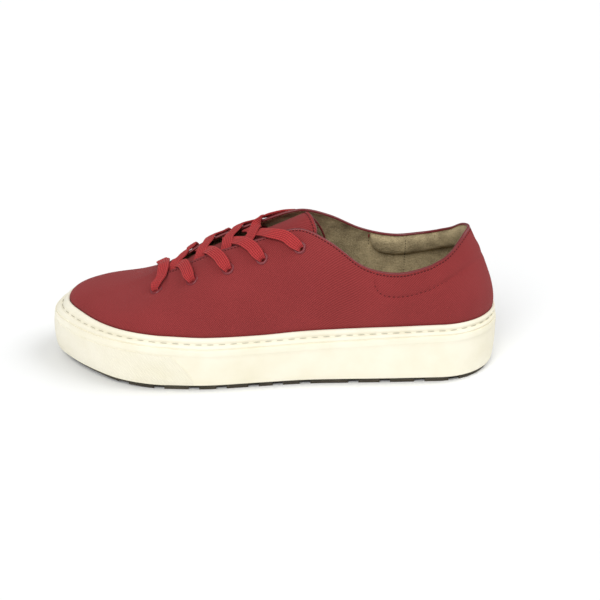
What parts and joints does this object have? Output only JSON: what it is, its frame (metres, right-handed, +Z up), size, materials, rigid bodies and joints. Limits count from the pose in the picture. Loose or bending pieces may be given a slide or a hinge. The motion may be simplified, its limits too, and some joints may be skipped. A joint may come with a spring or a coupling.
{
  "type": "canvas sneaker",
  "caption": "Low canvas sneaker for the left foot: a hollow laced upper with tongue and eyelets on a thick rubber cup sole.",
  "frame": {"origin": "middle of the sole's bounding box, on the ground", "axes": "+Z up, toe towards -X, heel towards +X, lateral side towards -Y, medial side towards +Y"},
  "size_m": [0.3002, 0.1068, 0.1066],
  "materials": {
    "canvas": "fine twill canvas, matte",
    "cup_rubber": "moulded cream rubber, satin",
    "tread_rubber": "moulded brown rubber, matte",
    "lining_cloth": "olive cotton lining, matte",
    "eyelet_paint": "red enamel, semi-gloss",
    "lace_braid": "flat ribbed cotton braid, matte"
  },
  "bodies": {
    "root": {"outsole": "tread_rubber", "midsole": "cup_rubber", "insole": "lining_cloth", "upper": "canvas", "tongue": "canvas", "eyelet_lateral_1": "eyelet_paint", "eyelet_lateral_2": "eyelet_paint", "eyelet_lateral_3": "eyelet_paint", "eyelet_lateral_4": "eyelet_paint", "eyelet_lateral_5": "eyelet_paint", "eyelet_medial_1": "eyelet_paint", "eyelet_medial_2": "eyelet_paint", "eyelet_medial_3": "eyelet_paint", "eyelet_medial_4": "eyelet_paint", "eyelet_medial_5": "eyelet_paint", "lace_bar": "lace_braid", "lace_cross_1": "lace_braid", "lace_cross_2": "lace_braid", "lace_cross_3": "lace_braid", "lace_cross_4": "lace_braid"}
  },
  "joints": []
}
